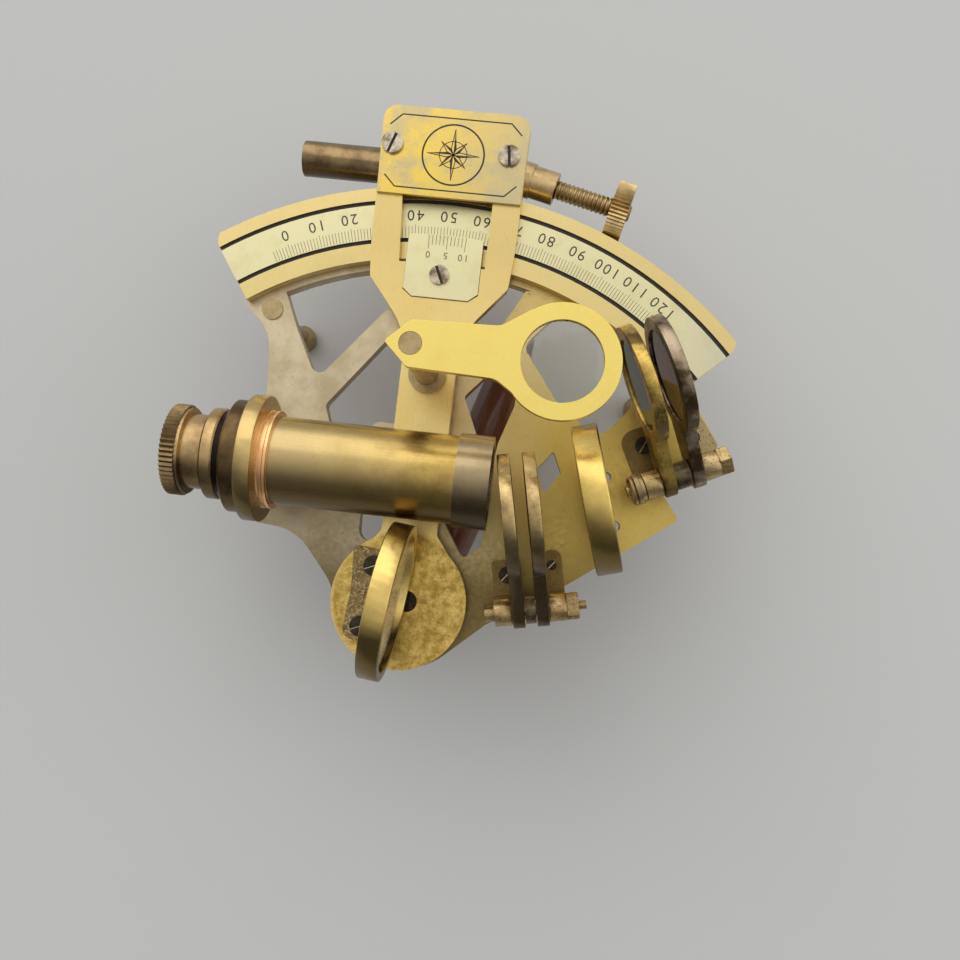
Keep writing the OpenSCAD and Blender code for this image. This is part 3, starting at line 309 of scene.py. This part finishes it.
# Painted light and shade: the frame yellower towards +X for warmer light there, and darker towards -Y by the
# hub and under the shades, for their shadows
CAST = metal("cast_brass", (0.66, 0.55, 0.36), (0.5, 0.4, 0.24), (0.32, 0.46), (0.4, 0.65), 150,
             brush_scale=1400, bump=0.1, specks=(1700, 0.64, (0.26, 0.2, 0.11)),
             tone_and_shade_fades=(("X", -4, 24, 1, (0.64, 0.46, 0.12)), ("Y", 14, 3, 0.85, (0.16, 0.11, 0.04))))
SILVERED = metal("silvered", (0.78, 0.71, 0.41), (0.68, 0.6, 0.31), (0.3, 0.42), (0.5, 0.8), 260,
                 brush=ALONG_X, specks=(2200, 0.7, (0.5, 0.46, 0.34)),
                 tone_and_shade_fades=(("X", 40, 53, 0.8, (0.6, 0.59, 0.45)),))
DARK_STEEL = metal("dark_steel", (0.07, 0.055, 0.04), (0.025, 0.02, 0.015), (0.25, 0.45), (0.35, 0.65), 900)
WASHER = metal("washer_brass", (0.22, 0.17, 0.09), (0.06, 0.045, 0.025), (0.25, 0.4), (0.35, 0.65), 900)
SCREW = metal("screw_brass", (0.62, 0.54, 0.4), (0.2, 0.15, 0.09), (0.25, 0.4), (0.42, 0.6), 380,
              brush=ALONG_Y, bump=0.05)
OLD_SILVER = metal("old_silver", (0.97, 0.95, 0.9), (0.76, 0.71, 0.6), (0.24, 0.46), (0.42, 0.62), 420,
                   brush=(1, 1, 0.03))
# Black filling for the grooves and the plate's rules, also painted shade in the cover and vernier screws'
# slots
INK_AND_SLOT_SHADE = plain("ink_and_slot_shade", (0.03, 0.025, 0.018), 0.6)
FIGURE_INK = plain("figure_ink", (0.085, 0.07, 0.045), 0.6)
ENGRAVED = plain("engraved", (0.16, 0.14, 0.09), 0.6)
CLEAR = glass("clear_glass", (0.97, 0.99, 0.98))
THIN_LENS = glass("thin_lens_glass", (0.95, 0.96, 0.9), ior=1.1, coat=1.0)
RED_GLASS = glass("red_glass", (0.06, 0.004, 0.003), ior=1.3)
GREEN_GLASS = glass("green_glass", (0.004, 0.04, 0.012), ior=1.3)
WOOD = rosewood("rosewood")

LOOKS = {
    POLISHED: ["limb_arc", "pivot_bush", "axle_nut", "clamp_screw"],
    ARM: ["index_arm"],
    PLATE: ["cover_plate"],
    LENS_PLATE: ["magnifier_arm"],
    MOUNT: ["index_mirror_ring"],
    HORIZON_MOUNT: ["horizon_ring"],
    BRACKET: ["telescope_bracket"],
    FOOT_BLOCK: ["index_mirror_base"],
    ROUGH_BLOCK: ["index_shade_pin", "index_shade_nut", "horizon_shade_nut", "horizon_shade_pin"],
    SHADE_BLOCK: ["index_shade_bracket", "horizon_shade_bracket"],
    AGED: ["horizon_bracket", "left_foot", "right_foot", "pivot_foot", "handle_pillars",
           "horizon_shade_knob", "magnifier_post", "tangent_screw", "clamp_carriage", "clamp_jaw"],
    KNOB: ["tangent_knob", "screw_housing"],
    HOUSING: ["spring_housing"],
    SCOPE: ["telescope_tube"],
    RIM: ["objective_ring"],
    LOCK: ["lock_ring"],
    DRAW: ["draw_ferrule", "eyepiece_tube"],
    DARK_BRASS: ["eyepiece_cap"],
    INDEX_SHADE: ["index_shade_1", "index_shade_2"],
    GOLD_SHADE: ["horizon_shade_1"],
    GREY_SHADE: ["horizon_shade_2"],
    CAST: ["frame_plate"],
    SILVERED: ["scale_strip", "vernier_plate"],
    SCREW: ["vernier_screw", "cover_screws"],
    DARK_STEEL: ["frame_screws", "bracket_screws", "index_mirror_screws", "index_axle"],
    WASHER: ["shade_washers"],
    CLEAR: ["objective_lens", "eyepiece_lens"],
    THIN_LENS: ["magnifier_lens"],
    OLD_SILVER: ["index_mirror_glass", "horizon_glass"],
    RED_GLASS: ["index_shade_1_glass", "horizon_shade_2_glass"],
    GREEN_GLASS: ["index_shade_2_glass", "horizon_shade_1_glass"],
    WOOD: ["handle_grip"],
}


def dress(mesh, material):
    mesh.materials.clear()
    mesh.materials.append(material)


for material, names in LOOKS.items():
    for name in names:
        dress(nodes[name].data, material)

# Bevels on the CAD pieces in millimetres, so that their edges catch light
ROUND_EDGES = {"frame_plate": 0.25, "index_arm": 0.15, "cover_plate": 0.18, "magnifier_arm": 0.15,
               "limb_arc": 0.12, "telescope_bracket": 0.4, "horizon_ring": 0.3,
               "index_mirror_ring": 0.2, "index_shade_1": 0.15, "index_shade_2": 0.15,
               "horizon_shade_1": 0.15, "horizon_shade_2": 0.15, "index_shade_bracket": 0.2,
               "horizon_shade_bracket": 0.2, "index_mirror_base": 0.15, "horizon_bracket": 0.15,
               "vernier_plate": 0.08, "spring_housing": 0.2, "screw_housing": 0.2,
               "clamp_jaw": 0.2, "clamp_carriage": 0.2, "horizon_shade_nut": 0.15,
               "index_shade_nut": 0.15}


WELD_DISTANCE = 0.01
FLAT_WITHIN = 0.4
SHARP_FROM = 40


def round_edges(node, width):
    """Bevel the sharp edges, after flat faces are joined so that no crease crosses them."""
    obj = nodes[node]
    weld = obj.modifiers.new("weld", "WELD")
    weld.merge_threshold = WELD_DISTANCE * MM
    flat = obj.modifiers.new("flat", "DECIMATE")
    flat.decimate_type = "DISSOLVE"
    flat.angle_limit = math.radians(FLAT_WITHIN)
    bevel = obj.modifiers.new("bevel", "BEVEL")
    bevel.width = width * MM
    bevel.segments = 2
    bevel.limit_method = "ANGLE"
    bevel.angle_limit = math.radians(SHARP_FROM)
    bevel.harden_normals = True


for name, width in ROUND_EDGES.items():
    round_edges(name, width)


# New pieces


def link(name, data):
    obj = bpy.data.objects.new(name, data)
    bpy.context.scene.collection.objects.link(obj)
    return obj


def add_piece(name, mesh, material, body):
    """A visible piece that rides a body."""
    dress(mesh, material)
    obj = link(name, mesh)
    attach(obj, body)
    return obj


def add_mesh(name, points, faces, material, body, slot):
    """A piece from points in millimetres."""
    mesh = bpy.data.meshes.new(name)
    mesh.from_pydata([Vector(p) * MM for p in points], [], faces)
    mesh.update()
    return add_piece(name, mesh, material, body)


def prisms(outlines, height, thick):
    """Points and faces of thin flat pieces, each from its corners in plan, counterclockwise."""
    points = []
    faces = []
    for corners in outlines:
        first = len(points)
        count = len(corners)
        for z in (height, height + thick):
            points += [(corner.x, corner.y, z) for corner in corners]
        faces.append([first + i for i in reversed(range(count))])
        faces.append([first + count + i for i in range(count)])
        for i in range(count):
            j = (i + 1) % count
            faces.append([first + i, first + j, first + count + j, first + count + i])
    return points, faces


def line(start, end, width):
    """The corners of a straight line in plan."""
    side = (end - start).normalized()
    side = Vector((-side.y, side.x)) * width / 2
    return [start + side, start - side, end - side, end + side]


def bars(pieces, height, thick):
    """Points and faces of thin bars: each piece is (start, end, width) in plan."""
    return prisms([line(*piece) for piece in pieces], height, thick)


ARC_STEPS = 120


def arc_strip(inner, outer, start, end, height, thick):
    """Points and faces of a flat strip along an arc round the pivot."""
    steps = ARC_STEPS
    points = []
    faces = []
    for i in range(steps + 1):
        angle = start + (end - start) * i / steps
        for radius in (inner, outer):
            p = bearing(radius, angle)
            points += [(p.x, p.y, height), (p.x, p.y, height + thick)]
    for i in range(steps):
        a, b = 4 * i, 4 * i + 4
        faces += [[a + 1, b + 1, b + 3, a + 3], [a, a + 2, b + 2, b], [a, b, b + 1, a + 1],
                  [a + 2, a + 3, b + 3, b + 2]]
    faces += [[0, 1, 3, 2], [4 * steps, 4 * steps + 2, 4 * steps + 3, 4 * steps + 1]]
    return points, faces


INK_THICK = 0.015
TICK_FROM = SCALE_INNER + 0.1
TICK_WIDTH = 0.09
TICK_LENGTH = 2.0
TENS_LENGTH = 2.3


def scale_ticks():
    lines = []
    for reading in range(-EXTRA_READINGS, LAST_READING + EXTRA_READINGS + 1):
        angle = ZERO + PER_READING * reading
        length = TENS_LENGTH if reading % 10 == 0 else TICK_LENGTH
        lines.append((bearing(TICK_FROM, angle), bearing(TICK_FROM + length, angle), TICK_WIDTH))
    return bars(lines, SCALE_TOP, INK_THICK)


add_mesh("scale_ticks", *scale_ticks(), ENGRAVED, "frame", "dark_steel")


FIGURE_THICK = 0.02
FIGURE_SPACING = 1.25
FIGURE_CURVE = 3


def lettering(name, items, material, body):
    """Flat figures joined in one mesh: each item is (text, size, centre, turn in degrees)."""
    joined = bmesh.new()
    for text, size, centre, turn in items:
        curve = bpy.data.curves.new("figure", "FONT")
        curve.body = text
        curve.size = size * MM
        curve.space_character = FIGURE_SPACING
        curve.align_x = "CENTER"
        curve.align_y = "CENTER"
        curve.extrude = FIGURE_THICK / 2 * MM
        curve.resolution_u = FIGURE_CURVE
        figure = link("figure", curve)
        bpy.context.view_layer.update()
        mesh = bpy.data.meshes.new_from_object(figure)
        place = Matrix.Translation(Vector(centre) * MM) @ Matrix.Rotation(math.radians(turn), 4, "Z")
        mesh.transform(place)
        joined.from_mesh(mesh)
        bpy.data.meshes.remove(mesh)
        bpy.data.objects.remove(figure)
        bpy.data.curves.remove(curve)
    mesh = bpy.data.meshes.new(name)
    joined.to_mesh(mesh)
    joined.free()
    return add_piece(name, mesh, material, body)


FIGURE_R = 67.9
FIGURE_SIZE = 2.75
FIGURE_LIFT = FIGURE_THICK / 2


def scale_figures():
    items = []
    for reading in range(0, LAST_READING + 1, 10):
        angle = ZERO + PER_READING * reading
        place = bearing(FIGURE_R, angle)
        items.append((str(reading), FIGURE_SIZE, (place.x, place.y, SCALE_TOP + FIGURE_LIFT), 180 - angle))
    return items


lettering("scale_figures", scale_figures(), FIGURE_INK, "frame")

# Black lines in the two grooves, clear of the grooves' sides
LIMB_FROM = -34.35
LIMB_TO = 46.65
GROOVE_GAP = 0.02
GROOVE_INK = 0.08
for name, inner in (("inner_groove_ink", SCALE_INNER - GROOVE), ("outer_groove_ink", SCALE_OUTER)):
    points, faces = arc_strip(inner + GROOVE_GAP, inner + GROOVE - GROOVE_GAP, LIMB_FROM, LIMB_TO,
                              LIMB_TOP - GROOVE_DEEP, GROOVE_INK)
    add_mesh(name, points, faces, INK_AND_SLOT_SHADE, "frame", "dark_steel")


# The vernier: its zero and its ten steps, in degrees from the arm's middle line
VERNIER_TOP = high("vernier_plate").z
VERNIER_ZERO = -2.3
VERNIER_STEP = 0.59
VERNIER_EDGE = SCALE_INNER - 0.15
VERNIER_WIDTH = 0.1
VERNIER_LENGTH = 1.7
FIVES_LENGTH = 2.4
VERNIER_FIGURE_R = SCALE_INNER - 3.6
VERNIER_FIGURE_SIZE = 1.7


def vernier_lines():
    lines = []
    for i in range(11):
        angle = VERNIER_ZERO + VERNIER_STEP * i
        length = FIVES_LENGTH if i % 5 == 0 else VERNIER_LENGTH
        lines.append((bearing(VERNIER_EDGE, angle), bearing(VERNIER_EDGE - length, angle), VERNIER_WIDTH))
    return bars(lines, VERNIER_TOP, INK_THICK)


add_mesh("vernier_lines", *vernier_lines(), ENGRAVED, "arm", "dark_steel")


def vernier_figures():
    items = []
    for step in (0, 5, 10):
        place = bearing(VERNIER_FIGURE_R, VERNIER_ZERO + VERNIER_STEP * step)
        items.append((str(step), VERNIER_FIGURE_SIZE, (place.x, place.y, VERNIER_TOP + FIGURE_LIFT), 180))
    return items


lettering("vernier_figures", vernier_figures(), ENGRAVED, "arm")


# The bare plate's rules: a frame with cut corners, and a star in two rings
RULE_X = 11.6
RULE_BOTTOM = 71.4
RULE_TOP = 84.4
RULE_CUT = 2
RULE_WIDTH = 0.24
STAR_AT = Vector((0, (RULE_BOTTOM + RULE_TOP) / 2))
STAR_LONG = 4.6
STAR_SHORT = 3.2
STAR_WAIST = 1.2
STAR_WIDTH = 0.16
STAR_RINGS = ((2.4, 0.14), (5.4, 0.3))
RING_STEPS = 48
RING_STEP = 360 / RING_STEPS
RING_OVERLAP = 0.1


def rule_lines():
    """The frame's rules, without its two upright sides."""
    cut = RULE_X - RULE_CUT
    corners = [Vector(c) for c in ((-cut, RULE_BOTTOM), (cut, RULE_BOTTOM),
                                   (RULE_X, RULE_BOTTOM + RULE_CUT), (RULE_X, RULE_TOP - RULE_CUT),
                                   (cut, RULE_TOP), (-cut, RULE_TOP),
                                   (-RULE_X, RULE_TOP - RULE_CUT), (-RULE_X, RULE_BOTTOM + RULE_CUT))]
    return [line(corners[i], corners[(i + 1) % 8], RULE_WIDTH) for i in range(8) if i not in (2, 6)]


def star_lines():
    """A compass star of eight points, each with one filled half, and its rings."""
    pieces = []
    for i in (1, 3, 5, 7, 0, 2, 4, 6):
        tip = STAR_AT + bearing(STAR_LONG if i % 2 == 0 else STAR_SHORT, 45 * i)
        after = STAR_AT + bearing(STAR_WAIST, 45 * i + 22.5)
        before = STAR_AT + bearing(STAR_WAIST, 45 * i - 22.5)
        pieces += [[STAR_AT, after, tip], line(tip, before, STAR_WIDTH), line(before, STAR_AT, STAR_WIDTH)]
    for radius, width in STAR_RINGS:
        for i in range(RING_STEPS):
            start = STAR_AT + bearing(radius, RING_STEP * i)
            end = STAR_AT + bearing(radius, RING_STEP * (i + 1) + RING_OVERLAP)
            pieces.append(line(start, end, width))
    return pieces


def plate_lines():
    return prisms(rule_lines() + star_lines(), high("cover_plate").z, INK_THICK)


add_mesh("plate_lines", *plate_lines(), INK_AND_SLOT_SHADE, "arm", "dark_steel")


def slots(name, places, height, width, material, body):
    """Painted lines on the floors of screw slots, dark ones for painted shade and bright ones for a painted
    glint: each place is (x, y, direction in degrees, length).
    """
    pieces = []
    for x, y, turn, length in places:
        a = math.radians(turn)
        reach = Vector((math.cos(a), math.sin(a))) * length / 2
        pieces.append((Vector((x, y)) - reach, Vector((x, y)) + reach, width))
    add_mesh(name, *bars(pieces, height, INK_THICK), material, body, "dark_steel")


# Heights of the slots' floors over the face that the screw stands on, and the widths of the painted lines:
# painted shade in the cover and vernier slots, a painted glint in the others
COVER_SLOT = 0.972
VERNIER_SLOT = 0.572
SMALL_SLOT = 1.517
WHOLE_SLOT = 0.48
MIRROR_GLINT = 0.14
BRACKET_GLINT = 0.12
# Painted shade: dark lines in the cover and vernier screws' slots
slots("cover_slot_shade", [(-10.8, 79, 71, 3.7), (9.75, 78.6, 97, 3.7)],
      ARM_TOP + COVER_SLOT, WHOLE_SLOT, INK_AND_SLOT_SHADE, "arm")
slots("vernier_slot_shade", [(0, 56.6, 114, 3.3)], ARM_TOP + VERNIER_SLOT, WHOLE_SLOT, INK_AND_SLOT_SHADE, "arm")
# Painted glint: bright lines in the mirror and bracket screws' slots
slots("mirror_slot_glint", [(-5.09, 5.51, 23.7, 3.4), (-6.23, -4.83, 23.7, 3.4)],
      ARM_TOP + SMALL_SLOT, MIRROR_GLINT, SCREW, "arm")
slots("bracket_slot_glint", [(17.39, 6.4, 51.8, 2.8), (24.84, 8.98, 51.8, 1.6), (38.42, 31.32, 64.7, 2.9),
                        (46.64, 33.56, 64.7, 2.3)],
      FRAME_TOP + SMALL_SLOT, BRACKET_GLINT, POLISHED, "frame")


# The tangent screw's thread, from behind the collar out to the knob
TANGENT_TURN = math.radians(-13.2)
TANGENT_WAY = Vector((math.cos(TANGENT_TURN), math.sin(TANGENT_TURN), 0))
TANGENT_BACK = 8.5
TANGENT_START = Vector((13.2, 77.3, LIMB_TOP - 4)) - TANGENT_WAY * TANGENT_BACK
TANGENT_LENGTH = 15.8 + TANGENT_BACK
THREAD_R = 1.79
THREAD_PITCH = 0.8
THREAD_DEPTH = 0.36
THREAD_AROUND = 24
THREAD_ROWS_PER_TURN = 4


def thread():
    """Points and faces of a screw thread: one swept surface round a core, with flat ends."""
    way = TANGENT_WAY.normalized()
    side = way.cross(Vector((0, 0, 1))).normalized()
    up = side.cross(way)
    around = THREAD_AROUND
    rows = int(TANGENT_LENGTH / THREAD_PITCH * THREAD_ROWS_PER_TURN)
    points = []
    faces = []
    for i in range(rows + 1):
        for j in range(around):
            angle = 2 * math.pi * j / around
            along = TANGENT_LENGTH * i / rows
            phase = (along / THREAD_PITCH - j / around) % 1
            tooth = 1 - abs(2 * phase - 1)
            r = THREAD_R - THREAD_DEPTH * (1 - tooth)
            points.append(TANGENT_START + way * along + (side * math.cos(angle) + up * math.sin(angle)) * r)
    for i in range(rows):
        for j in range(around):
            k = (j + 1) % around
            faces.append([i * around + j, i * around + k, (i + 1) * around + k, (i + 1) * around + j])
    faces.append(list(range(around - 1, -1, -1)))
    faces.append([rows * around + j for j in range(around)])
    return points, faces


screw = add_mesh("tangent_thread", *thread(), AGED, "fine_screw", "aged_brass")
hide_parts("tangent_screw")

# Floor, sky, lights and camera, in metres
FLOOR_HALF = 4
floor = link("floor", bpy.data.meshes.new("floor"))
floor.data.from_pydata([(x * FLOOR_HALF, y * FLOOR_HALF, 0) for x, y in ((-1, -1), (1, -1), (1, 1), (-1, 1))],
                       [], [[0, 1, 2, 3]])
floor.data.materials.append(plain("floor", (0.62, 0.62, 0.6), 0.8))

# A soft studio sky, bright above and over the limb's side, dim on the other side
SKY_TOWARD = (-0.15, 0.75, 0.64)
SKY_DIM = (0.2, 0.2, 0.21)
SKY_BRIGHT = (1.0, 1.0, 1.0)
world = bpy.data.worlds.new("studio")
world.use_nodes = True
sky = world.node_tree
way = sky.nodes.new("ShaderNodeTexCoord")
toward = sky.nodes.new("ShaderNodeVectorMath")
toward.operation = "DOT_PRODUCT"
toward.inputs[1].default_value = SKY_TOWARD
sky.links.new(way.outputs["Generated"], toward.inputs[0])
level = spread(sky, toward.outputs["Value"], -0.1, 0.95)
sky.links.new(blend(sky, level, SKY_DIM, SKY_BRIGHT), sky.nodes["Background"].inputs["Color"])
bpy.context.scene.world = world


LIGHT_TARGET = Vector((0, 0.02, 0.03))


def area_light(name, place, size, power):
    light = bpy.data.lights.new(name, "AREA")
    light.shape = "RECTANGLE"
    light.size = size[0]
    light.size_y = size[1]
    light.energy = power
    obj = link(name, light)
    obj.location = place
    obj.rotation_euler = (LIGHT_TARGET - Vector(place)).to_track_quat("-Z", "Y").to_euler()


area_light("key", (-0.45, 0.95, 0.75), (1.8, 1.2), 5.2)
area_light("fill", (0.7, 0.1, 0.5), (0.8, 0.8), 1.2)

camera_data = bpy.data.cameras.new("camera")
camera_data.sensor_width = 36
camera_data.lens = 37.5
camera_data.clip_start = 0.01
camera = link("camera", camera_data)
# The photograph's camera as solved: its place in millimetres, and its three axes
CAMERA_AT = Vector((19.48, 10.98, LIMB_TOP + 172.6))
CAMERA_RIGHT = Vector((0.99270, 0.11310, -0.04186))
CAMERA_UP = Vector((-0.11003, 0.99149, 0.06977))
CAMERA_BACK = Vector((0.04939, -0.06465, 0.99669))
turn = Matrix((CAMERA_RIGHT, CAMERA_UP, CAMERA_BACK)).transposed()
camera.matrix_world = Matrix.Translation(CAMERA_AT * MM) @ turn.to_4x4()
bpy.context.scene.camera = camera
bpy.context.scene.view_settings.view_transform = "Standard"
